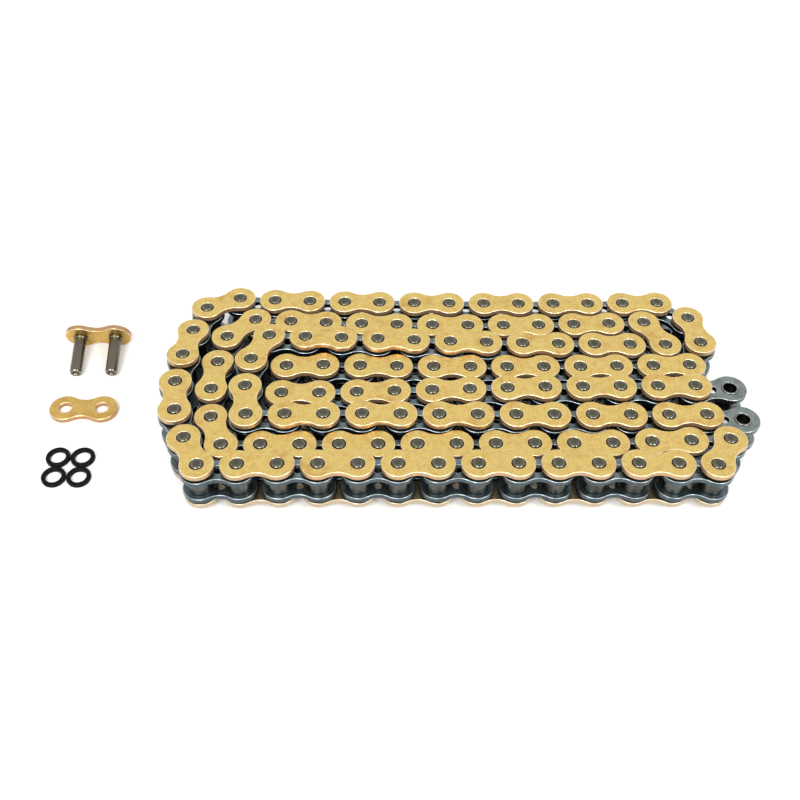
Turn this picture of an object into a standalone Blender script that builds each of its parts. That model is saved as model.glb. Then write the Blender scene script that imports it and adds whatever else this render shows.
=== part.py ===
"""Sealed-roller motorcycle drive chain, folded into a flat hank, with its loose connecting-link set.

Metres, +Z up, the chain lies on its side on the ground, with some rows pushed up over their neighbours.  118 links of 15.875 mm pitch: the hank carries
117 of them, the loose connecting link is the last one.  Links 0, 2, 4 ... are roller (inner) links, links
1, 3, 5 ... are pin (outer) links.  Every strand of the hank is one joined solid.  The two free roller links,
the pin links they turn on and the connecting-link set are modelled piece by piece, and so are nine rollers
of the front row, which spin on the strand's bushes.
"""
import math

import bmesh
import bpy
from mathutils import Matrix, Vector

MM = 0.001
PITCH = 15.875                       # standard 5/8 inch chain, all lengths below in millimetres

# heights of the layers of a link lying on its side
HEIGHT = 21.5                        # over both rivet heads
OUTER_LOW = (0.7, 3.1)               # lower pin-link plate
INNER_LOW = (4.4, 6.8)               # lower roller-link plate
INNER_HIGH = (14.7, 17.1)
OUTER_HIGH = (18.4, 20.8)
ROLLER_Z = (7.1, 14.4)
BUSH_Z = (4.2, 17.3)
SEAL_HEIGHT = 0.8
SEAL_Z = (3.35, 17.35)               # underside of the lower and of the upper seal

# plate outlines
OUTER_END = 7.0                      # radius of the rounded ends
INNER_END = 7.3
OUTER_WAIST = 4.6                    # half width in the middle
INNER_WAIST = 4.9
CENTRE_HOLE = 2.0                    # radius of the lightening hole of a roller-link plate

# turned pieces, radii
PIN = 2.7
PIN_HEAD = 2.92
BUSH_BORE = 3.0
BUSH = 3.65
ROLLER_BORE = 4.0
ROLLER = 5.08
STRAND_BORE = 3.4                    # bore of a joined strand where the next strand's pin goes through
STRAND_BUSH = 3.55                   # bush of a joined strand inside a separate roller
NECK = 3.0                           # square neck of a joined strand in the seal gaps, half its diagonal
PLATE_PIN_HOLE = 3.08
PLATE_BUSH_HOLE = 3.95
SEAL_RADII = (3.95, 5.4)
RING_RADII = (3.3, 5.05)
RING_HEIGHT = 1.8

# The folded route: centre of the first hole, then headings in degrees, run by run.
# "row" entries are (links, first heading, last heading), "turn" entries list single links.
START = (140.3, 11.1)
ROUTE = [
    ("turn", 187),
    ("row", 10, 182.0, 181.4),
    ("turn", 181, 87, 3),
    ("row", 10, -0.2, 2.8),
    ("turn", 63, 101, 143),
    ("row", 12, 182.2, 179.2),
    ("turn", 208, 255, 262, 267, 277, 292, 297),
    ("row", 13, 1.4, 1.2),
    ("turn", 61),
    ("row", 13, 181.8, 181.4),
    ("turn", 112, 97, 87, 82, 44),
    ("row", 11, -2.4, 4.0),
    ("turn", -61),
    ("row", 11, 182.8, 178.4),
    ("turn", 246, 267, 277),
    ("row", 12, 1.4, 2.0),
    ("turn", 2),
]
# How far the chain is pushed up off the ground, as (hole, lift) with straight slopes between.  Slopes leave and
# reach the ground in a roller link, because the lowest plates of a pin link would dip into it.
LIFT_POINTS = [(0, 3.2), (5, 3.2), (11, 0.0), (38, 0.0), (42, 3.0), (45, 2.4), (48, 3.2), (58, 3.2),
               (63, 0.0), (90, 0.0), (98, 3.4), (107, 3.4), (115, 1.4), (117, 1.4)]

# Joined strands: name, first link, last link.
STRANDS = [
    ("row_5", 2, 11), ("left_turn_5_4", 12, 12), ("row_4", 13, 23), ("outer_right_turn", 24, 26),
    ("row_1", 27, 39), ("column_1", 40, 45), ("row_8", 46, 58), ("right_turn_8_7", 59, 59),
    ("row_7", 60, 72), ("column_2", 73, 77), ("row_2", 78, 88), ("right_turn_2_3", 89, 89),
    ("row_3", 90, 100), ("column_3", 101, 103), ("row_6", 104, 114),
]

# Holes of the front row whose rollers are separate pieces.
FRONT_ROLLERS = range(49, 58)

# Loose set, plan positions in the same frame as the route.
LINK_CENTRE = (-138.8, 48.9)         # middle of the side plate's inner face
LINK_YAW = 2.0
LINK_SLOPE = 12.88                   # the pins slope down to the ground by this
LINK_PIN_END = 21.6
COVER_CENTRE = (-138.3, 9.8)
COVER_YAW = 1.3
RING_CENTRES = [(-143.5, -17.3), (-133.1, -17.1), (-143.1, -27.7), (-132.7, -27.5)]

# Moves the whole layout so that its bounding box is centred on the origin.
SHIFT = (1.62, -13.07)

GOLD = (0.72, 0.47, 0.14, 1.0)
STEEL = (0.42, 0.44, 0.47, 1.0)
DARK_STEEL = (0.20, 0.19, 0.18, 1.0)
ROLLER_STEEL = (0.34, 0.31, 0.28, 1.0)
BLACK = (0.02, 0.02, 0.02, 1.0)


def clear_scene():
    """Empty the start-up scene."""
    for old in list(bpy.data.objects):
        bpy.data.objects.remove(old, do_unlink=True)


clear_scene()
chain = bpy.data.collections.new("drive_chain")
cutters = bpy.data.collections.new("cutters")
bpy.context.scene.collection.children.link(chain)
bpy.context.scene.collection.children.link(cutters)


def walk_route():
    """Follow the headings by one pitch each and return the hole centres and headings."""
    headings = []
    for kind, *numbers in ROUTE:
        if kind == "turn":
            headings += numbers
            continue
        count, first, last = numbers
        for i in range(count):
            headings.append(first + (last - first) * i / max(count - 1, 1))
    x, y = START[0] + SHIFT[0], START[1] + SHIFT[1]
    holes = [(x, y)]
    for heading in headings:
        x += PITCH * math.cos(math.radians(heading))
        y += PITCH * math.sin(math.radians(heading))
        holes.append((x, y))
    return holes, headings


def lift_at(hole):
    """Height of a hole above the level of a chain that lies flat."""
    for (first, low), (last, high) in zip(LIFT_POINTS, LIFT_POINTS[1:]):
        if hole <= last:
            return low + (high - low) * (hole - first) / (last - first)
    return LIFT_POINTS[-1][1]


HOLES, HEADINGS = walk_route()
LIFTS = [lift_at(hole) for hole in range(len(HOLES))]


def is_inner(link):
    """Roller links have even numbers."""
    return link % 2 == 0


def material(name, colour, metallic, roughness):
    """A Principled material for one piece."""
    made = bpy.data.materials.new(name)
    made.use_nodes = True
    shader = made.node_tree.nodes["Principled BSDF"]
    shader.inputs["Base Color"].default_value = colour
    shader.inputs["Metallic"].default_value = metallic
    shader.inputs["Roughness"].default_value = roughness
    return made


def finish(obj, colour, metallic=0.9, roughness=0.35):
    """Give a finished piece its material and put it in the chain's collection."""
    obj.data.materials.append(material("mat_" + obj.name, colour, metallic, roughness))
    chain.objects.link(obj)
    return obj


def new_object(name, bm):
    """Turn a bmesh drawn in millimetres into an object in metres."""
    bmesh.ops.scale(bm, vec=(MM, MM, MM), verts=bm.verts)
    bmesh.ops.recalc_face_normals(bm, faces=bm.faces)
    mesh = bpy.data.meshes.new(name)
    bm.to_mesh(mesh)
    bm.free()
    return bpy.data.objects.new(name, mesh)


def place(obj, x, y, z=0.0, heading=0.0):
    """Set an object's origin, in millimetres, and its heading."""
    obj.matrix_world = Matrix.Translation(Vector((x, y, z)) * MM) @ Matrix.Rotation(math.radians(heading), 4, "Z")
    return obj


def cutter(obj):
    """Keep a Boolean operand out of the finished part."""
    obj.hide_render = True
    obj.display_type = "WIRE"
    cutters.objects.link(obj)
    return obj


def combine(obj, other, operation):
    """Add an exact Boolean of the two objects."""
    change = obj.modifiers.new(operation.lower(), "BOOLEAN")
    change.operation = operation
    change.solver = "EXACT"
    change.object = other


def prism(bm, outline, low, high):
    """Add an upright prism over an outline of (x, y, lift) points given anticlockwise."""
    bottom = [bm.verts.new((x, y, lift + low)) for x, y, lift in outline]
    top = [bm.verts.new((x, y, lift + high)) for x, y, lift in outline]
    bm.faces.new(bottom[::-1])
    bm.faces.new(top)
    for i in range(len(outline)):
        j = (i + 1) % len(outline)
        bm.faces.new((bottom[i], bottom[j], top[j], top[i]))


def stepped_column(bm, x, y, sides, steps, turn=0.0):
    """Add an upright column; steps are (height, radius) from the bottom to the top."""
    rings = []
    for height, radius in steps:
        ring = []
        for i in range(sides):
            angle = math.radians(turn) + 2 * math.pi * i / sides
            ring.append(bm.verts.new((x + radius * math.cos(angle), y + radius * math.sin(angle), height)))
        rings.append(ring)
    bm.faces.new(rings[0][::-1])
    bm.faces.new(rings[-1])
    for lower, upper in zip(rings, rings[1:]):
        for i in range(sides):
            j = (i + 1) % sides
            bm.faces.new((lower[i], lower[j], upper[j], upper[i]))


def turned_ring(bm, profile, sides):
    """Add a ring round the z axis from a closed profile of (radius, height) points."""
    loops = []
    for i in range(sides):
        angle = 2 * math.pi * i / sides
        loops.append([bm.verts.new((r * math.cos(angle), r * math.sin(angle), z)) for r, z in profile])
    for i in range(sides):
        here, after = loops[i], loops[(i + 1) % sides]
        for k in range(len(profile)):
            m = (k + 1) % len(profile)
            bm.faces.new((here[k], after[k], after[m], here[m]))


def plate_outline(end_radius, waist, angles):
    """Waisted link outline centred on the origin, holes at half a pitch to either side.

    The angles place the points of one rounded end, measured from straight outwards.
    """
    points = []
    for side in (0, 180):
        centre = PITCH / 2 if side == 0 else -PITCH / 2
        for angle in angles:
            turn = math.radians(side + angle)
            points.append((centre + end_radius * math.cos(turn), end_radius * math.sin(turn), 0.0))
        points.append((0.0, waist if side == 0 else -waist, 0.0))
    return points


def moved(outline, link):
    """The outline moved to a link of the route, and sloped between the heights of its two holes."""
    (x0, y0), (x1, y1) = HOLES[link], HOLES[link + 1]
    turn = math.radians(HEADINGS[link])
    c, s = math.cos(turn), math.sin(turn)
    middle, slope = (LIFTS[link] + LIFTS[link + 1]) / 2, (LIFTS[link + 1] - LIFTS[link]) / PITCH
    return [((x0 + x1) / 2 + c * x - s * y, (y0 + y1) / 2 + s * x + c * y, middle + slope * x)
            for x, y, _ in outline]


# ---------------------------------------------------------------- joined strands
STRAND_ANGLES = (-92, -46, 0, 46, 92)
STRAND_OUTER = plate_outline(OUTER_END, OUTER_WAIST, STRAND_ANGLES)
STRAND_INNER = plate_outline(INNER_END, INNER_WAIST, STRAND_ANGLES)
HEX = 6
SQUARE = 4


def raised(steps, hole):
    """The steps of a column at the height of a hole."""
    return [(height + LIFTS[hole], radius) for height, radius in steps]


def strand(name, first, last):
    """Plates, pins and rollers of a run of links, joined into one solid."""
    plates, necks, columns, bores = bmesh.new(), bmesh.new(), bmesh.new(), bmesh.new()
    for link in range(first, last + 1):
        if is_inner(link):
            prism(plates, moved(STRAND_INNER, link), *INNER_LOW)
            prism(plates, moved(STRAND_INNER, link), *INNER_HIGH)
        else:
            prism(plates, moved(STRAND_OUTER, link), 0.0, OUTER_LOW[1])
            prism(plates, moved(STRAND_OUTER, link), OUTER_HIGH[0], HEIGHT)
    in_low_plate, in_high_plate = OUTER_LOW[1] - 1.2, OUTER_HIGH[0] + 1.2
    in_low_inner, in_high_inner = INNER_LOW[1] - 1.2, INNER_HIGH[0] + 1.2
    has_necks, has_bores = False, False
    for hole in range(first, last + 2):
        x, y = HOLES[hole]
        link = min(hole, last)
        turn = HEADINGS[link]
        at_end = hole in (first, last + 1)
        if at_end and not is_inner(link):
            pin = raised([(in_low_plate, PIN), (in_high_plate, PIN)], hole)
            stepped_column(columns, x, y, HEX, pin, turn)
            continue
        radius = STRAND_BUSH if hole in FRONT_ROLLERS else ROLLER
        middle = raised([(in_low_inner, radius), (in_high_inner, radius)], hole)
        stepped_column(columns, x, y, HEX, middle, turn)
        if at_end:
            bore = raised([(INNER_LOW[0] - 1, STRAND_BORE), (INNER_HIGH[1] + 1, STRAND_BORE)], hole)
            stepped_column(bores, x, y, HEX, bore, turn)
            has_bores = True
        else:
            neck = raised([(in_low_plate, NECK), (in_high_plate, NECK)], hole)
            stepped_column(necks, x, y, SQUARE, neck, turn)
            has_necks = True
    solid = new_object(name, plates)
    combine(solid, cutter(new_object(name + "_columns", columns)), "UNION")
    for bm, wanted, suffix, operation in ((necks, has_necks, "_necks", "UNION"),
                                          (bores, has_bores, "_bores", "DIFFERENCE")):
        if wanted:
            combine(solid, cutter(new_object(name + suffix, bm)), operation)
        else:
            bm.free()
    return finish(solid, GOLD)


for strand_name, first_link, last_link in STRANDS:
    strand(strand_name, first_link, last_link)


# ---------------------------------------------------------------- single pieces
FINE_ANGLES = (-98, -72, -48, -24, 0, 24, 48, 72, 98)
FINE_OUTER = plate_outline(OUTER_END, OUTER_WAIST, FINE_ANGLES)
FINE_INNER = plate_outline(INNER_END, INNER_WAIST, FINE_ANGLES)
PLATE_SIDES = 12
ROLLER_SIDES = 16


def plate(name, outline, thickness, hole_radius, colour, centre_hole=False):
    """Link plate with its two holes, lying on z = 0 with its middle at the origin."""
    bm = bmesh.new()
    prism(bm, outline, 0.0, thickness)
    solid = new_object(name, bm)
    holes = bmesh.new()
    for x in (-PITCH / 2, PITCH / 2):
        stepped_column(holes, x, 0.0, PLATE_SIDES, [(-1.0, hole_radius), (thickness + 1.0, hole_radius)])
    if centre_hole:
        stepped_column(holes, 0.0, 0.0, 8, [(-1.0, CENTRE_HOLE), (thickness + 1.0, CENTRE_HOLE)])
    tool = cutter(new_object(name + "_holes", holes))
    tool.parent = solid
    combine(solid, tool, "DIFFERENCE")
    return finish(solid, colour)


def ring(name, profile, sides, colour, **look):
    """Turned hollow piece round its own origin."""
    bm = bmesh.new()
    turned_ring(bm, profile, sides)
    return finish(new_object(name, bm), colour, **look)


def tube_profile(inner, outer, low, high):
    """Closed profile of a plain tube."""
    return [(inner, low), (outer, low), (outer, high), (inner, high)]


def seal_profile(inner, outer, height):
    """Cross-section of a sealing ring with a groove in each face."""
    middle, lip, dip = (inner + outer) / 2, 0.28 * (outer - inner), 0.18 * height
    return [(inner, 0.2 * height), (inner + lip, 0), (middle, dip), (outer - lip, 0),
            (outer, 0.2 * height), (outer, 0.8 * height), (outer - lip, height),
            (middle, height - dip), (inner + lip, height), (inner, 0.8 * height)]


def rivet_pin(name, colour):
    """Pin with both ends riveted over, its foot on z = 0."""
    edge, crown = 0.25, 0.5
    bm = bmesh.new()
    stepped_column(bm, 0, 0, PLATE_SIDES, [
        (0, PIN_HEAD - 0.5), (edge, PIN_HEAD), (crown, PIN_HEAD), (crown + 0.15, PIN),
        (HEIGHT - crown - 0.15, PIN), (HEIGHT - crown, PIN_HEAD), (HEIGHT - edge, PIN_HEAD),
        (HEIGHT, PIN_HEAD - 0.5)])
    return finish(new_object(name, bm), colour)


def middle_of(link):
    """Middle of a link of the route."""
    (x0, y0), (x1, y1) = HOLES[link], HOLES[link + 1]
    return (x0 + x1) / 2, (y0 + y1) / 2


def roller_link(name, link):
    """Free roller link at an end of the chain: two plates, two bushes, two rollers."""
    x, y = middle_of(link)
    thickness = INNER_LOW[1] - INNER_LOW[0]
    for layer, height in (("lower", INNER_LOW[0]), ("upper", INNER_HIGH[0])):
        made = plate(name + "_plate_" + layer, FINE_INNER, thickness, PLATE_BUSH_HOLE, STEEL, True)
        place(made, x, y, height + LIFTS[link], HEADINGS[link])
    joint_hole = 1 if link == 0 else link
    free_hole = 0 if link == 0 else link + 1
    for where, hole in (("joint", joint_hole), ("free", free_hole)):
        bush = ring(name + "_bush_" + where, tube_profile(BUSH_BORE, BUSH, 0.0, BUSH_Z[1] - BUSH_Z[0]),
                    PLATE_SIDES, STEEL)
        place(bush, *HOLES[hole], BUSH_Z[0] + LIFTS[hole], HEADINGS[link])
        roller = ring(name + "_roller_" + where,
                      tube_profile(ROLLER_BORE, ROLLER, 0.0, ROLLER_Z[1] - ROLLER_Z[0]),
                      ROLLER_SIDES, ROLLER_STEEL)
        place(roller, *HOLES[hole], ROLLER_Z[0] + LIFTS[hole], HEADINGS[link])


def front_rollers():
    """Separate rollers on the front row's bushes."""
    for k, hole in enumerate(FRONT_ROLLERS, 1):
        roller = ring("front_roller_%d" % k, tube_profile(ROLLER_BORE, ROLLER, 0.0, ROLLER_Z[1] - ROLLER_Z[0]),
                      ROLLER_SIDES, ROLLER_STEEL)
        place(roller, *HOLES[hole], ROLLER_Z[0] + LIFTS[hole], HEADINGS[hole])


def pin_link(name, link):
    """Pin link next to a free roller link: two plates, two pins, four seals."""
    x, y = middle_of(link)
    thickness = OUTER_LOW[1] - OUTER_LOW[0]
    for layer, height in (("lower", OUTER_LOW[0]), ("upper", OUTER_HIGH[0])):
        made = plate(name + "_plate_" + layer, FINE_OUTER, thickness, PLATE_PIN_HOLE, GOLD)
        place(made, x, y, height + LIFTS[link], HEADINGS[link])
    for k, hole in enumerate((link, link + 1), 1):
        place(rivet_pin("%s_pin_%d" % (name, k), DARK_STEEL), *HOLES[hole], LIFTS[hole], HEADINGS[link])
        for layer, height in zip(("lower", "upper"), SEAL_Z):
            seal = ring("%s_seal_%s_%d" % (name, layer, k), tube_profile(*SEAL_RADII, 0, SEAL_HEIGHT),
                        PLATE_SIDES, BLACK, metallic=0.0, roughness=0.5)
            place(seal, *HOLES[hole], height + LIFTS[hole], HEADINGS[link])


roller_link("end_a", 0)
pin_link("link_a", 1)
pin_link("link_b", 115)
roller_link("end_b", 116)
front_rollers()


# ---------------------------------------------------------------- loose connecting-link set
def leaning(obj, across):
    """Place a piece of the connecting link, which leans on its plate's edge and its pin tips."""
    slope = math.radians(LINK_SLOPE)
    thickness = OUTER_LOW[1] - OUTER_LOW[0]
    lift = OUTER_END * math.cos(slope) + thickness * math.sin(slope)
    frame = (Matrix.Translation(Vector((LINK_CENTRE[0] + SHIFT[0], LINK_CENTRE[1] + SHIFT[1] + thickness,
                                        lift)) * MM)
             @ Matrix.Rotation(math.radians(LINK_YAW), 4, "Z")
             @ Matrix.Rotation(math.radians(90 + LINK_SLOPE), 4, "X"))
    obj.matrix_world = frame @ Matrix.Translation(Vector((across, 0, 0)) * MM)
    return obj


def connecting_link():
    """Side plate with its two hollow-ended pins."""
    thickness = OUTER_LOW[1] - OUTER_LOW[0]
    leaning(plate("connecting_side_plate", FINE_OUTER, thickness, PLATE_PIN_HOLE, GOLD), 0.0)
    for k, across in enumerate((-PITCH / 2, PITCH / 2), 1):
        bm = bmesh.new()
        stepped_column(bm, 0, 0, PLATE_SIDES, [
            (-0.7, PIN_HEAD - 0.5), (-0.45, PIN_HEAD), (-0.2, PIN_HEAD), (-0.1, PIN),
            (thickness + 0.2, PIN), (thickness + 0.25, 3.15), (thickness + 1.6, 3.15),
            (thickness + 1.65, PIN), (LINK_PIN_END - 0.4, PIN), (LINK_PIN_END, PIN - 0.5)], -90)
        solid = new_object("connecting_pin_%d" % k, bm)
        hollow = bmesh.new()
        stepped_column(hollow, 0, 0, 8, [(LINK_PIN_END - 2.2, 1.5), (LINK_PIN_END + 1, 1.5)])
        tool = cutter(new_object("connecting_pin_%d_hollow" % k, hollow))
        tool.parent = solid
        combine(solid, tool, "DIFFERENCE")
        leaning(finish(solid, DARK_STEEL), across)


def cover_plate():
    """The plate that is pressed on the connecting link last."""
    thickness = OUTER_LOW[1] - OUTER_LOW[0]
    made = plate("cover_plate", FINE_OUTER, thickness, PIN, GOLD)
    place(made, COVER_CENTRE[0] + SHIFT[0], COVER_CENTRE[1] + SHIFT[1], 0.0, COVER_YAW)


def loose_seals():
    """The four spare sealing rings."""
    for k, (x, y) in enumerate(RING_CENTRES, 1):
        made = ring("seal_ring_%d" % k, seal_profile(*RING_RADII, RING_HEIGHT), ROLLER_SIDES, BLACK,
                    metallic=0.0, roughness=0.5)
        place(made, x + SHIFT[0], y + SHIFT[1])


connecting_link()
cover_plate()
loose_seals()
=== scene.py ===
"""Looks of the folded drive chain: plates, pins, bushes, rollers and seals over the CAD frame."""

import math

import bmesh
import bpy
from mathutils import Matrix, Vector


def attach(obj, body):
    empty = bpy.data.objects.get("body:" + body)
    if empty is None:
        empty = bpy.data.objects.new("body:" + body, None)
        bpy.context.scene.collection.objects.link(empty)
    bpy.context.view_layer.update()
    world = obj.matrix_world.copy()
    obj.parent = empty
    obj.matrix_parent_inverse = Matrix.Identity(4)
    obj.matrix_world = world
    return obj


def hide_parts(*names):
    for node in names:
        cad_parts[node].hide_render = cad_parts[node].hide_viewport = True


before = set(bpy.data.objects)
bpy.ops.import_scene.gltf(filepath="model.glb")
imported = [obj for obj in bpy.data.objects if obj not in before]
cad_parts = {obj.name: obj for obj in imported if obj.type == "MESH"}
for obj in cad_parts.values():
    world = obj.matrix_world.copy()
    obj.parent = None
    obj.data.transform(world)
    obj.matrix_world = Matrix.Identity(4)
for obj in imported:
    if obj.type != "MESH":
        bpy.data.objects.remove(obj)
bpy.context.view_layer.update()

MM = 0.001
PITCH = 15.875                       # all lengths below in millimetres

# layers of a link lying on its side
HEIGHT = 21.5
PLATE = 2.4                          # plate thickness
OUTER_LOW = 0.7                      # undersides of the four plates
INNER_LOW = 4.4
INNER_HIGH = 14.7
OUTER_HIGH = 18.4
ROLLER_Z = (6.95, 14.55)
BUSH_Z = (4.15, 17.35)
SEAL_GAP = 1.3
SEAL_PLAY = 0.03                     # between a seal and the plate on either side
SEAL_LOW = OUTER_LOW + PLATE + SEAL_PLAY
SEAL_HIGH = INNER_HIGH + PLATE + SEAL_PLAY

TURN_PER_HOLE = 37.0                 # degrees, so that no two neighbouring pieces look the same

# plate outlines: end radius, half width of the waist
OUTER = (6.95, 4.8)
INNER = (7.25, 5.05)
CENTRE_HOLE = 2.0
OUTER_EDGE = 0.35                    # rounding of the plates' edges
INNER_EDGE = 0.4

PIN = 2.5
PIN_HEAD = 2.62
PIN_HOLE = 2.85                      # leaves a dark groove round the pin
LINK_PIN = 2.7
LINK_PIN_HEAD = 2.92
BUSH_BORE = 2.85
BUSH = 3.6
ROLLER_BORE = 3.75
ROLLER = 5.05
SEAL_INNER, SEAL_OUTER = 3.75, 5.5

# the same folded route as the CAD part
SHIFT = (1.62, -13.07)
START = (140.3, 11.1)
ROUTE = [
    ("turn", 187),
    ("row", 10, 182.0, 181.4),
    ("turn", 181, 87, 3),
    ("row", 10, -0.2, 2.8),
    ("turn", 63, 101, 143),
    ("row", 12, 182.2, 179.2),
    ("turn", 208, 255, 262, 267, 277, 292, 297),
    ("row", 13, 1.4, 1.2),
    ("turn", 61),
    ("row", 13, 181.8, 181.4),
    ("turn", 112, 97, 87, 82, 44),
    ("row", 11, -2.4, 4.0),
    ("turn", -61),
    ("row", 11, 182.8, 178.4),
    ("turn", 246, 267, 277),
    ("row", 12, 1.4, 2.0),
    ("turn", 2),
]
# how far holes are pushed up over the level of a chain that lies flat: (hole, lift)
LIFT_POINTS = [(0, 3.2), (5, 3.2), (11, 0.0), (38, 0.0), (42, 3.0), (45, 2.4), (48, 3.2), (58, 3.2),
               (63, 0.0), (90, 0.0), (98, 3.4), (107, 3.4), (115, 1.4), (117, 1.4)]
STRANDS = [
    ("row_5", 2, 11), ("left_turn_5_4", 12, 12), ("row_4", 13, 23), ("outer_right_turn", 24, 26),
    ("row_1", 27, 39), ("column_1", 40, 45), ("row_8", 46, 58), ("right_turn_8_7", 59, 59),
    ("row_7", 60, 72), ("column_2", 73, 77), ("row_2", 78, 88), ("right_turn_2_3", 89, 89),
    ("row_3", 90, 100), ("column_3", 101, 103), ("row_6", 104, 114),
]

# holes of the front row whose rollers turn
FRONT_ROLLERS = range(49, 58)

# loose connecting-link set
LINK_CENTRE = (-138.8, 48.9)
LINK_YAW = 2.0
LINK_SLOPE = 12.88
LINK_REST = 7.0                      # from the plate's middle to the edge that it leans on
LINK_PIN_END = 21.6
COVER_CENTRE = (-138.3, 9.8)
COVER_YAW = 1.3
RING_CENTRES = [(-143.5, -17.3), (-133.1, -17.1), (-143.1, -27.7), (-132.7, -27.5)]
RING_INNER, RING_OUTER, RING_HEIGHT = 3.3, 5.05, 1.8
RING_TURN = 40.0

# camera: distance from the middle of the hank's top, angles in degrees
LENS = 48.48
SENSOR = 36.0
CAMERA_DISTANCE = 450.1
CAMERA_ELEVATION = 47.74
CAMERA_ROLL = 0.96

# floor and lights, in metres and watts: (name, place, size, power)
FLOOR_SIZE = 3.0
FLOOR_LEVEL = -0.0001
LIGHTS = [("key", (-0.25, -0.65, 0.70), 0.45, 6.0), ("fill", (0.5, -0.45, 0.6), 0.3, 3.0)]


# ---------------------------------------------------------------- route
def walk_route():
    """Hole centres in millimetres and link headings in degrees."""
    headings = []
    for kind, *numbers in ROUTE:
        if kind == "turn":
            headings += numbers
            continue
        count, first, last = numbers
        headings += [first + (last - first) * i / (count - 1) for i in range(count)]
    x, y = START[0] + SHIFT[0], START[1] + SHIFT[1]
    holes = [(x, y)]
    for heading in headings:
        x += PITCH * math.cos(math.radians(heading))
        y += PITCH * math.sin(math.radians(heading))
        holes.append((x, y))
    return holes, headings


def lift_at(hole):
    """Height of a hole above the level of a chain that lies flat."""
    for (first, low), (last, high) in zip(LIFT_POINTS, LIFT_POINTS[1:]):
        if hole <= last:
            return low + (high - low) * (hole - first) / (last - first)
    return LIFT_POINTS[-1][1]


HOLES, HEADINGS = walk_route()
LIFTS = [lift_at(hole) for hole in range(len(HOLES))]


def placed(x, y, z, heading=0.0):
    """Matrix of a piece that stands upright at a point given in millimetres."""
    return Matrix.Translation(Vector((x, y, z)) * MM) @ Matrix.Rotation(math.radians(heading), 4, "Z")


def at_link(link, z):
    """Matrix of a plate on a link of the route, sloped between the heights of its two holes."""
    (x0, y0), (x1, y1) = HOLES[link], HOLES[link + 1]
    slope = Matrix.Identity(4)
    slope[2][0] = (LIFTS[link + 1] - LIFTS[link]) / PITCH
    middle = (LIFTS[link] + LIFTS[link + 1]) / 2
    return placed((x0 + x1) / 2, (y0 + y1) / 2, z + middle, HEADINGS[link]) @ slope


def at_hole(hole, z):
    """Matrix of a turned piece at a hole; every one is turned a little further round."""
    return placed(*HOLES[hole], z + LIFTS[hole], TURN_PER_HOLE * hole)


# ---------------------------------------------------------------- meshes
def new_mesh(name, bm):
    """Finish a bmesh drawn in millimetres as a smooth mesh in metres."""
    bmesh.ops.scale(bm, vec=(MM, MM, MM), verts=bm.verts)
    bmesh.ops.recalc_face_normals(bm, faces=bm.faces)
    for face in bm.faces:
        face.smooth = True
    mesh = bpy.data.meshes.new(name)
    bm.to_mesh(mesh)
    bm.free()
    return mesh


def turned(name, profile, segments, closed=False):
    """Turned piece round z. An open profile of (radius, height) starts and ends on the axis."""
    bm = bmesh.new()
    loops = []
    for radius, height in profile:
        if radius == 0:
            loops.append([bm.verts.new((0, 0, height))])
            continue
        loops.append([bm.verts.new((radius * math.cos(2 * math.pi * i / segments),
                                    radius * math.sin(2 * math.pi * i / segments), height))
                      for i in range(segments)])
    pairs = list(zip(loops, loops[1:]))
    if closed:
        pairs.append((loops[-1], loops[0]))
    for low, high in pairs:
        for i in range(segments):
            j = (i + 1) % segments
            corners = [low[i % len(low)], low[j % len(low)], high[j % len(high)], high[i % len(high)]]
            bm.faces.new(list(dict.fromkeys(corners)))
    return new_mesh(name, bm)


def outline(end_radius, waist, step=7.5):
    """Link plate outline: round ends run into a hollow waist without a corner."""
    half = PITCH / 2
    hollow = (half ** 2 + waist ** 2 - end_radius ** 2) / (2 * (end_radius - waist))
    meet = 180 - math.degrees(math.atan2(waist + hollow, half))
    count = round(2 * meet / step)
    points = []
    for side in (0, 180):
        turn = math.radians(side)
        sign = math.cos(turn)
        for i in range(count + 1):
            angle = math.radians(-meet + 2 * meet * i / count) + turn
            points.append((half * sign + end_radius * math.cos(angle), end_radius * math.sin(angle)))
        inner = math.radians(180 - meet)
        sweep = math.pi - 2 * inner
        for i in range(1, 6):
            angle = turn - inner - sweep * i / 6
            points.append((hollow * math.cos(angle),
                           (waist + hollow) * sign + hollow * math.sin(angle)))
    return points


def plate_mesh(name, shape, holes, bevel):
    """Link plate on z = 0 with round holes of (x, radius) and rounded edges."""
    bm = bmesh.new()
    low = [bm.verts.new((x, y, 0)) for x, y in outline(*shape)]
    bm.faces.new(low)
    grown = bmesh.ops.extrude_face_region(bm, geom=list(bm.faces))
    top = [item for item in grown["geom"] if isinstance(item, bmesh.types.BMVert)]
    bmesh.ops.translate(bm, vec=(0, 0, PLATE), verts=top)
    blank = bpy.data.objects.new(name + "_blank", new_mesh(name + "_blank", bm))
    bpy.context.scene.collection.objects.link(blank)
    made = [blank]
    for x, radius in holes:
        profile = [(0, -1), (radius, -1), (radius, PLATE + 1), (0, PLATE + 1)]
        drill = bpy.data.objects.new(name + "_drill", turned(name + "_drill", profile, 40))
        drill.location.x = x * MM
        bpy.context.scene.collection.objects.link(drill)
        made.append(drill)
        cut = blank.modifiers.new("hole", "BOOLEAN")
        cut.operation = "DIFFERENCE"
        cut.solver = "EXACT"
        cut.object = drill
    round_edges = blank.modifiers.new("edges", "BEVEL")
    round_edges.width = bevel * MM
    round_edges.segments = 4
    round_edges.limit_method = "ANGLE"
    round_edges.angle_limit = math.radians(40)
    bpy.context.view_layer.update()
    shape_now = blank.evaluated_get(bpy.context.evaluated_depsgraph_get())
    mesh = bpy.data.meshes.new_from_object(shape_now)
    mesh.name = name
    for obj in made:
        bpy.data.objects.remove(obj, do_unlink=True)
    for face in mesh.polygons:
        face.use_smooth = True
    return mesh


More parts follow.
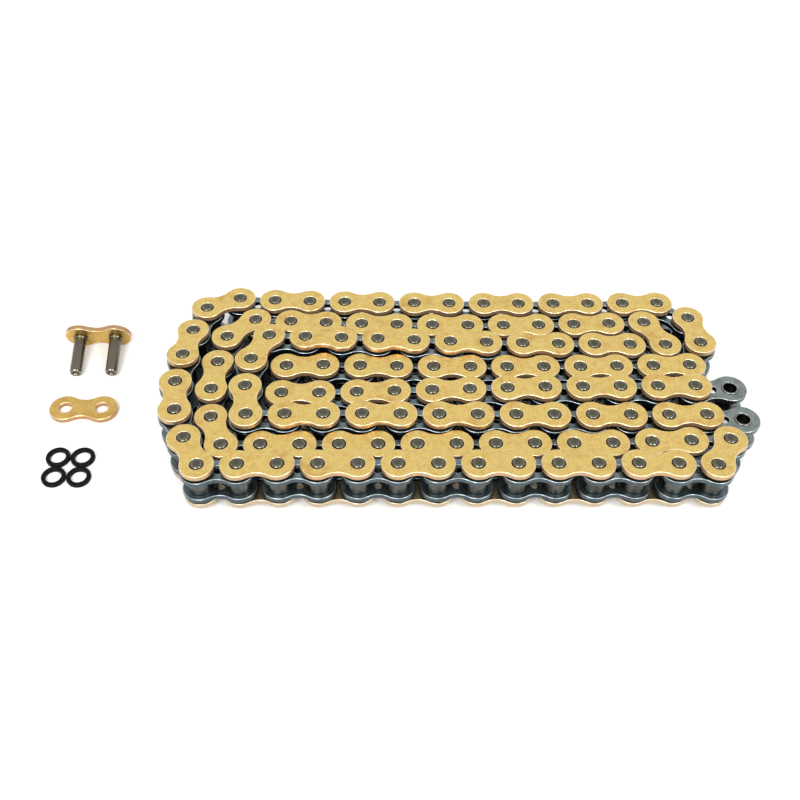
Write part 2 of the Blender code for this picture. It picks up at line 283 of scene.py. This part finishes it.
def bead(inner, outer, height, pinch, count=20):
    """Cross-section of a sealing ring with four rounded lips."""
    middle, half_width, half_height = (inner + outer) / 2, (outer - inner) / 2, height / 2
    points = []
    for i in range(count):
        angle = 2 * math.pi * i / count
        reach = (1 - pinch * math.cos(4 * angle)) / max(1 - pinch, (1 + pinch) * math.sqrt(0.5) * 1.05)
        points.append((middle + half_width * reach * math.cos(angle),
                       half_height + half_height * reach * math.sin(angle)))
    return points


def tube(inner, outer, height, chamfer):
    """Closed profile of a tube with eased edges."""
    return [(inner + chamfer * 0.6, 0), (outer - chamfer, 0), (outer - chamfer * 0.3, chamfer * 0.3),
            (outer, chamfer), (outer, height - chamfer), (outer - chamfer * 0.3, height - chamfer * 0.3),
            (outer - chamfer, height), (inner + chamfer * 0.6, height), (inner, height - chamfer * 0.6),
            (inner, chamfer * 0.6)]


def rivet_profile():
    """Pin with both ends spread and domed."""
    end = [(0, 0.0), (0.6, 0.01), (1.1, 0.05), (1.5, 0.11), (1.85, 0.20), (2.15, 0.32), (2.4, 0.48),
           (2.55, 0.66), (PIN_HEAD, 0.85), (PIN_HEAD, OUTER_LOW + 0.3), (PIN, OUTER_LOW + 0.45)]
    return end + [(r, HEIGHT - z) for r, z in reversed(end)]


HALF = PITCH / 2
MESHES = {
    "outer": plate_mesh("outer_plate", OUTER, [(-HALF, PIN_HOLE), (HALF, PIN_HOLE)], OUTER_EDGE),
    "inner": plate_mesh("inner_plate", INNER, [(-HALF, BUSH), (HALF, BUSH), (0, CENTRE_HOLE)],
                        INNER_EDGE),
    "pin": turned("pin", rivet_profile(), 28),
    "bush": turned("bush", tube(BUSH_BORE, BUSH, BUSH_Z[1] - BUSH_Z[0], 0.25), 28, closed=True),
    "roller": turned("roller", tube(ROLLER_BORE, ROLLER, ROLLER_Z[1] - ROLLER_Z[0], 0.4), 36,
                     closed=True),
    "seal": turned("seal", bead(SEAL_INNER, SEAL_OUTER, SEAL_GAP - 2 * SEAL_PLAY, 0.1, 12), 28,
                   closed=True),
}


# ---------------------------------------------------------------- materials
# features per metre
STAIN_SCALE = 95.0
PATCH_SCALE = 330.0
RUBBER_SCALE = 900.0
COARSE_GRAIN = 1500.0
GRAIN = 2300.0


def node_chain(name):
    """New material with its node tree and its Principled shader."""
    made = bpy.data.materials.new(name)
    made.use_nodes = True
    tree = made.node_tree
    return made, tree, tree.nodes["Principled BSDF"]


def link(tree, source, target):
    """Join two sockets."""
    tree.links.new(source, target)


def noise(tree, coordinates, scale, detail=3.0, roughness=0.55):
    """Noise value over the piece, scale in features per metre."""
    node = tree.nodes.new("ShaderNodeTexNoise")
    node.inputs["Scale"].default_value = scale
    node.inputs["Detail"].default_value = detail
    node.inputs["Roughness"].default_value = roughness
    link(tree, coordinates, node.inputs["Vector"])
    return node.outputs["Fac"]


def ramp(tree, value, stops):
    """Colour ramp with (position, colour) stops."""
    node = tree.nodes.new("ShaderNodeValToRGB")
    first, last = node.color_ramp.elements
    first.position, first.color = stops[0][0], (*stops[0][1], 1)
    last.position, last.color = stops[-1][0], (*stops[-1][1], 1)
    for position, colour in stops[1:-1]:
        node.color_ramp.elements.new(position).color = (*colour, 1)
    link(tree, value, node.inputs["Fac"])
    return node.outputs["Color"]


def mix(tree, factor, a, b, blend="MIX"):
    """Mix two colours; factor, a and b are sockets or plain values."""
    node = tree.nodes.new("ShaderNodeMix")
    node.data_type = "RGBA"
    node.blend_type = blend
    for socket, value in ((node.inputs[0], factor), (node.inputs[6], a), (node.inputs[7], b)):
        if isinstance(value, bpy.types.NodeSocket):
            link(tree, value, socket)
        elif isinstance(value, tuple):
            socket.default_value = (*value, 1)
        else:
            socket.default_value = value
    return node.outputs[2]


def spread(tree, value, low, high, to_low, to_high):
    """Map a value from one range to another."""
    node = tree.nodes.new("ShaderNodeMapRange")
    node.inputs["From Min"].default_value = low
    node.inputs["From Max"].default_value = high
    node.inputs["To Min"].default_value = to_low
    node.inputs["To Max"].default_value = to_high
    link(tree, value, node.inputs["Value"])
    return node.outputs["Result"]


def flatness(tree, coordinates_node):
    """1 where the piece's own surface faces along its z axis, 0 on its sides."""
    parts = tree.nodes.new("ShaderNodeSeparateXYZ")
    link(tree, coordinates_node.outputs["Normal"], parts.inputs["Vector"])
    size = tree.nodes.new("ShaderNodeMath")
    size.operation = "ABSOLUTE"
    link(tree, parts.outputs["Z"], size.inputs[0])
    return size.outputs[0]


def metal(name, side, edge, face, tint, mottle=0.45, rough=(0.28, 0.42), grain=GRAIN, contrast=0.12,
          stretch=(1.0, 1.0, 1.0), side_metal=1.0, stain=None):
    """Mottled, grained metal whose faces, sides and rounded edges differ; the edge colour is a painted
    highlight.
    """
    made, tree, shader = node_chain(name)
    where = tree.nodes.new("ShaderNodeTexCoord")
    flat = flatness(tree, where)
    # side colour, then the painted highlight of the rounded edges, then the face colour; a darker side
    # adds painted shade
    base = ramp(tree, flat, [(0.0, side), (0.35, side), (0.55, edge), (0.95, edge), (0.995, face)])
    pulled = tree.nodes.new("ShaderNodeMapping")
    pulled.inputs["Scale"].default_value = stretch
    link(tree, where.outputs["Object"], pulled.inputs["Vector"])
    patches = noise(tree, pulled.outputs["Vector"], PATCH_SCALE, 5.0, 0.65)
    colour = mix(tree, spread(tree, patches, 0.45, 0.68, 0.0, mottle), base, tint)
    if stain:
        spots = noise(tree, pulled.outputs["Vector"], STAIN_SCALE, 4.0, 0.6)
        colour = mix(tree, spread(tree, spots, 0.56, 0.72, 0.0, 0.6), colour, stain)
    fine = noise(tree, pulled.outputs["Vector"], grain, 3.0, 0.7)
    shade = spread(tree, fine, 0.3, 0.7, 1.0 - contrast, 1.0 + contrast)
    grey = tree.nodes.new("ShaderNodeCombineColor")
    for channel in ("Red", "Green", "Blue"):
        link(tree, shade, grey.inputs[channel])
    colour = mix(tree, 1.0, colour, grey.outputs["Color"], "MULTIPLY")
    link(tree, colour, shader.inputs["Base Color"])
    link(tree, spread(tree, patches, 0.35, 0.7, *rough), shader.inputs["Roughness"])
    if side_metal < 1.0:
        link(tree, spread(tree, flat, 0.3, 0.6, side_metal, 1.0), shader.inputs["Metallic"])
    else:
        shader.inputs["Metallic"].default_value = 1.0
    dents = tree.nodes.new("ShaderNodeBump")
    dents.inputs["Strength"].default_value = 0.12
    dents.inputs["Distance"].default_value = 0.00005
    link(tree, fine, dents.inputs["Height"])
    link(tree, dents.outputs["Normal"], shader.inputs["Normal"])
    return made


def rubber(name):
    """Black oiled rubber."""
    made, tree, shader = node_chain(name)
    where = tree.nodes.new("ShaderNodeTexCoord")
    patches = noise(tree, where.outputs["Object"], RUBBER_SCALE, 3.0)
    link(tree, ramp(tree, patches, [(0.3, (0.002, 0.0025, 0.0025)), (0.7, (0.006, 0.007, 0.007))]),
         shader.inputs["Base Color"])
    link(tree, spread(tree, patches, 0.3, 0.7, 0.18, 0.32), shader.inputs["Roughness"])
    shader.inputs["Specular IOR Level"].default_value = 0.07
    dents = tree.nodes.new("ShaderNodeBump")
    dents.inputs["Strength"].default_value = 0.15
    dents.inputs["Distance"].default_value = 0.0001
    link(tree, patches, dents.inputs["Height"])
    link(tree, dents.outputs["Normal"], shader.inputs["Normal"])
    return made


# edge colours below are painted highlights; the gold's copper side is its punched edge's tone with
# painted shade
GOLD = metal("gold", side=(0.42, 0.27, 0.16), edge=(0.97, 0.84, 0.56), face=(0.76, 0.565, 0.19),
             tint=(0.60, 0.34, 0.09), mottle=0.5, contrast=0.18, grain=COARSE_GRAIN, side_metal=0.6,
             stain=(0.52, 0.27, 0.07))
LOOSE_GOLD = metal("loose_gold", side=(0.40, 0.24, 0.12), edge=(0.95, 0.78, 0.48),
                   face=(0.66, 0.44, 0.13), tint=(0.50, 0.26, 0.06), mottle=0.5, contrast=0.18,
                   grain=COARSE_GRAIN, side_metal=0.6, stain=(0.46, 0.22, 0.05))
# lower plates: a paler, pinker gold as painted light, standing for the floor's reflection and lifting
# their shade
LOWER_GOLD_PAINTED_LIGHT = metal("lower_gold_painted_light", side=(0.44, 0.36, 0.24), edge=(0.62, 0.55, 0.40),
                  face=(0.55, 0.46, 0.28), tint=(0.55, 0.35, 0.22), contrast=0.16,
                  grain=COARSE_GRAIN, side_metal=0.5)
# inner plates: the dark face and darker sides are the steel's own finish plus painted shade between the
# gold plates
STEEL = metal("steel", side=(0.075, 0.098, 0.11), edge=(0.38, 0.44, 0.46), face=(0.18, 0.235, 0.26),
              tint=(0.055, 0.072, 0.08), mottle=0.6, contrast=0.22, grain=COARSE_GRAIN)
END_STEEL = metal("end_steel", side=(0.09, 0.11, 0.11), edge=(0.46, 0.51, 0.48),
                  face=(0.24, 0.28, 0.265), tint=(0.11, 0.13, 0.12), mottle=0.6, contrast=0.22,
                  grain=COARSE_GRAIN)
ROLLER_STEEL = metal("roller_steel", side=(0.10, 0.10, 0.088), edge=(0.20, 0.20, 0.18),
                     face=(0.10, 0.10, 0.09), tint=(0.045, 0.042, 0.035), mottle=0.7,
                     rough=(0.22, 0.4), contrast=0.35, grain=COARSE_GRAIN, stretch=(1.0, 1.0, 0.12))
BUSH_STEEL = metal("bush_steel", side=(0.10, 0.10, 0.095), edge=(0.40, 0.41, 0.38),
                   face=(0.20, 0.21, 0.19), tint=(0.08, 0.08, 0.07), rough=(0.2, 0.35))
# pins: the dark olive top is own tone and painted dark reflection; bright ring painted highlight; sides
# painted shade
PIN_STEEL = metal("pin_steel", side=(0.045, 0.04, 0.03), edge=(0.17, 0.165, 0.13),
                  face=(0.105, 0.103, 0.075), tint=(0.045, 0.042, 0.028), rough=(0.16, 0.28),
                  contrast=0.25)
LINK_PIN_STEEL = metal("link_pin_steel", side=(0.16, 0.145, 0.11), edge=(0.30, 0.28, 0.22),
                       face=(0.05, 0.045, 0.035), tint=(0.08, 0.07, 0.05), rough=(0.2, 0.35),
                       stretch=(1.0, 1.0, 0.25))
RUBBER = rubber("seal_rubber")


# ---------------------------------------------------------------- placing
def show(name, mesh, material, body, nodes=(), matrix=None):
    """Make an object of a mesh, put it on its body and let it stand for CAD nodes."""
    obj = bpy.data.objects.new(name, mesh)
    mesh.materials.clear()
    mesh.materials.append(material)
    bpy.context.scene.collection.objects.link(obj)
    if matrix is not None:
        obj.matrix_world = matrix
    normals = obj.modifiers.new("normals", "WEIGHTED_NORMAL")
    normals.keep_sharp = True
    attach(obj, body)
    if nodes:
        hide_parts(*nodes)
    return obj


def repeated(name, kind, matrices):
    """One mesh holding a copy of a piece at every matrix."""
    bm = bmesh.new()
    for matrix in matrices:
        count = len(bm.verts)
        bm.from_mesh(MESHES[kind])
        bm.verts.ensure_lookup_table()
        bmesh.ops.transform(bm, matrix=matrix, verts=bm.verts[count:])
    mesh = bpy.data.meshes.new(name)
    bm.to_mesh(mesh)
    bm.free()
    return mesh


def strand(name, first, last):
    """All the pieces of one strand of the hank, grouped by kind."""
    outer = [k for k in range(first, last + 1) if k % 2]
    inner = [k for k in range(first, last + 1) if k % 2 == 0]
    pins = [hole for k in outer for hole in (k, k + 1)]
    bushes = [hole for k in inner for hole in (k, k + 1)]
    rollers = [hole for hole in bushes if hole not in FRONT_ROLLERS]
    groups = [
        ("outer_plates_upper", "outer", GOLD, [at_link(k, OUTER_HIGH) for k in outer]),
        # the lower plates get the gold with painted light from the floor
        ("outer_plates_lower", "outer", LOWER_GOLD_PAINTED_LIGHT, [at_link(k, OUTER_LOW) for k in outer]),
        ("inner_plates_upper", "inner", STEEL, [at_link(k, INNER_HIGH) for k in inner]),
        ("inner_plates_lower", "inner", STEEL, [at_link(k, INNER_LOW) for k in inner]),
        ("pins", "pin", PIN_STEEL, [at_hole(k, 0) for k in pins]),
        ("seals", "seal", RUBBER, [at_hole(k, z) for k in pins for z in (SEAL_LOW, SEAL_HIGH)]),
        ("bushes", "bush", BUSH_STEEL, [at_hole(k, BUSH_Z[0]) for k in bushes]),
        ("rollers", "roller", ROLLER_STEEL, [at_hole(k, ROLLER_Z[0]) for k in rollers]),
    ]
    for kind, piece, material, matrices in groups:
        if matrices:
            show("%s_%s" % (name, kind), repeated(name + kind, piece, matrices), material, "hank",
                 [name])


def single(name, kind, material, body, matrix):
    """One piece that stands for the CAD node of the same name."""
    mesh = MESHES[kind].copy()
    return show(name + "_look", mesh, material, body, [name], matrix)


for strand_name, first_link, last_link in STRANDS:
    strand(strand_name, first_link, last_link)


def roller_link(end, link_number, joint_hole, free_hole):
    """Free roller link at one end of the chain."""
    body = "end_link_" + end
    for layer, z in (("lower", INNER_LOW), ("upper", INNER_HIGH)):
        single("end_%s_plate_%s" % (end, layer), "inner", END_STEEL, body,
               at_link(link_number, z))
    for where, hole in (("joint", joint_hole), ("free", free_hole)):
        single("end_%s_bush_%s" % (end, where), "bush", BUSH_STEEL, body,
               at_hole(hole, BUSH_Z[0]))
        single("end_%s_roller_%s" % (end, where), "roller", ROLLER_STEEL, "roller_%s_%s" % (end, where),
               at_hole(hole, ROLLER_Z[0]))


def pin_link(end, link_number):
    """Pin link that the free roller link turns on."""
    name = "link_" + end
    single(name + "_plate_upper", "outer", GOLD, "hank",
           at_link(link_number, OUTER_HIGH))
    # the lower plate gets the gold with painted light from the floor
    single(name + "_plate_lower", "outer", LOWER_GOLD_PAINTED_LIGHT, "hank",
           at_link(link_number, OUTER_LOW))
    for k, hole in enumerate((link_number, link_number + 1), 1):
        single("%s_pin_%d" % (name, k), "pin", PIN_STEEL, "hank", at_hole(hole, 0))
        for layer, z in (("lower", SEAL_LOW), ("upper", SEAL_HIGH)):
            single("%s_seal_%s_%d" % (name, layer, k), "seal", RUBBER, "hank", at_hole(hole, z))


for number, hole_number in enumerate(FRONT_ROLLERS, 1):
    single("front_roller_%d" % number, "roller", ROLLER_STEEL, "front_roller_%d" % number,
           at_hole(hole_number, ROLLER_Z[0]))
roller_link("a", 0, 1, 0)
pin_link("a", 1)
pin_link("b", 115)
roller_link("b", 116, 116, 117)


# ---------------------------------------------------------------- loose connecting-link set
def leaning(across=0.0):
    """Matrix of a piece of the connecting link, which leans on its plate's edge and its pin tips."""
    slope = math.radians(LINK_SLOPE)
    lift = LINK_REST * math.cos(slope) + PLATE * math.sin(slope)
    corner = Vector((LINK_CENTRE[0] + SHIFT[0], LINK_CENTRE[1] + SHIFT[1] + PLATE, lift)) * MM
    return (Matrix.Translation(corner) @ Matrix.Rotation(math.radians(LINK_YAW), 4, "Z")
            @ Matrix.Rotation(math.radians(90 + LINK_SLOPE), 4, "X")
            @ Matrix.Translation(Vector((across, 0, 0)) * MM))


def connecting_pin_profile():
    """Stepped pin with a spread foot, a shoulder at the plate and a hollow, chamfered tip."""
    end = LINK_PIN_END
    foot = [(0, -0.6), (1.5, -0.62), (2.1, -0.68), (2.6, -0.5), (LINK_PIN_HEAD, -0.15),
            (LINK_PIN_HEAD, 0.02), (LINK_PIN, 0.1)]
    shoulder = [(LINK_PIN, PLATE + 0.05), (3.1, PLATE + 0.06), (3.12, PLATE + 0.9),
                (2.95, PLATE + 1.05), (2.95, PLATE + 1.5), (LINK_PIN, PLATE + 1.7)]
    tip = [(LINK_PIN, end - 1.0), (2.62, end - 0.6), (2.35, end - 0.12), (2.15, end), (1.62, end),
           (1.5, end - 0.12), (1.5, end - 1.9), (0, end - 2.1)]
    return foot + shoulder + tip


def ring_mesh(name):
    """Loose sealing ring."""
    return turned(name, bead(RING_INNER, RING_OUTER, RING_HEIGHT, 0.12, 24), 48, closed=True)


single("connecting_side_plate", "outer", LOOSE_GOLD, "connecting_link", leaning())
single("cover_plate", "outer", LOOSE_GOLD, "cover_plate",
       placed(COVER_CENTRE[0] + SHIFT[0], COVER_CENTRE[1] + SHIFT[1], 0.0, COVER_YAW))
for number, side in enumerate((-1, 1), 1):
    pin_name = "connecting_pin_%d" % number
    show(pin_name + "_look", turned(pin_name, connecting_pin_profile(), 36), LINK_PIN_STEEL,
         "connecting_link", [pin_name], leaning(side * HALF))
for number, (ring_x, ring_y) in enumerate(RING_CENTRES, 1):
    ring_name = "seal_ring_%d" % number
    show(ring_name + "_look", ring_mesh(ring_name), RUBBER, ring_name, [ring_name],
         placed(ring_x + SHIFT[0], ring_y + SHIFT[1], 0.0, RING_TURN * number))


# ---------------------------------------------------------------- stage, light and camera
def stage():
    """Plain white floor."""
    bm = bmesh.new()
    bmesh.ops.create_grid(bm, x_segments=1, y_segments=1, size=FLOOR_SIZE)
    mesh = bpy.data.meshes.new("floor")
    bm.to_mesh(mesh)
    bm.free()
    floor = bpy.data.objects.new("floor", mesh)
    floor.location.z = FLOOR_LEVEL
    made, _, shader = node_chain("floor_white")
    shader.inputs["Base Color"].default_value = (0.93, 0.93, 0.92, 1)
    shader.inputs["Roughness"].default_value = 0.9
    shader.inputs["Specular IOR Level"].default_value = 0.1
    mesh.materials.append(made)
    bpy.context.scene.collection.objects.link(floor)


def area_light(name, location, size, power):
    """Square soft white light aimed at the origin."""
    data = bpy.data.lights.new(name, "AREA")
    data.shape = "SQUARE"
    data.size = size
    data.energy = power
    lamp = bpy.data.objects.new(name, data)
    lamp.location = location
    lamp.rotation_euler = (-Vector(location)).to_track_quat("-Z", "Y").to_euler()
    bpy.context.scene.collection.objects.link(lamp)


def sky():
    """Soft white surround, a little greyer at the horizon."""
    world = bpy.context.scene.world or bpy.data.worlds.new("world")
    bpy.context.scene.world = world
    world.use_nodes = True
    tree = world.node_tree
    where = tree.nodes.new("ShaderNodeTexCoord")
    parts = tree.nodes.new("ShaderNodeSeparateXYZ")
    link(tree, where.outputs["Generated"], parts.inputs["Vector"])
    white = (1.0, 1.0, 1.0)
    shade = ramp(tree, spread(tree, parts.outputs["Z"], -1, 1, 0, 1),
                 [(0.0, white), (0.5, (0.75, 0.75, 0.76)), (0.72, white), (1.0, white)])
    background = tree.nodes["Background"]
    link(tree, shade, background.inputs["Color"])
    background.inputs["Strength"].default_value = 1.0


def camera():
    """Camera that looks down on the hank from the front, a little rolled."""
    elevation, roll = math.radians(CAMERA_ELEVATION), math.radians(CAMERA_ROLL)
    data = bpy.data.cameras.new("camera")
    data.lens = LENS
    data.sensor_width = SENSOR
    data.clip_start = 0.01
    eye = bpy.data.objects.new("camera", data)
    flat_right = Vector((1, 0, 0))
    flat_up = Vector((0, math.sin(elevation), math.cos(elevation)))
    back = Vector((0, -math.cos(elevation), math.sin(elevation)))
    right = flat_right * math.cos(roll) + flat_up * math.sin(roll)
    up = flat_up * math.cos(roll) - flat_right * math.sin(roll)
    turn = Matrix((right, up, back)).transposed().to_4x4()
    centre = Vector((SHIFT[0], SHIFT[1], HEIGHT)) * MM
    eye.matrix_world = Matrix.Translation(centre + back * CAMERA_DISTANCE * MM) @ turn
    bpy.context.scene.collection.objects.link(eye)
    bpy.context.scene.camera = eye


stage()
sky()
for light in LIGHTS:
    area_light(*light)
camera()
bpy.context.scene.view_settings.view_transform = "Standard"
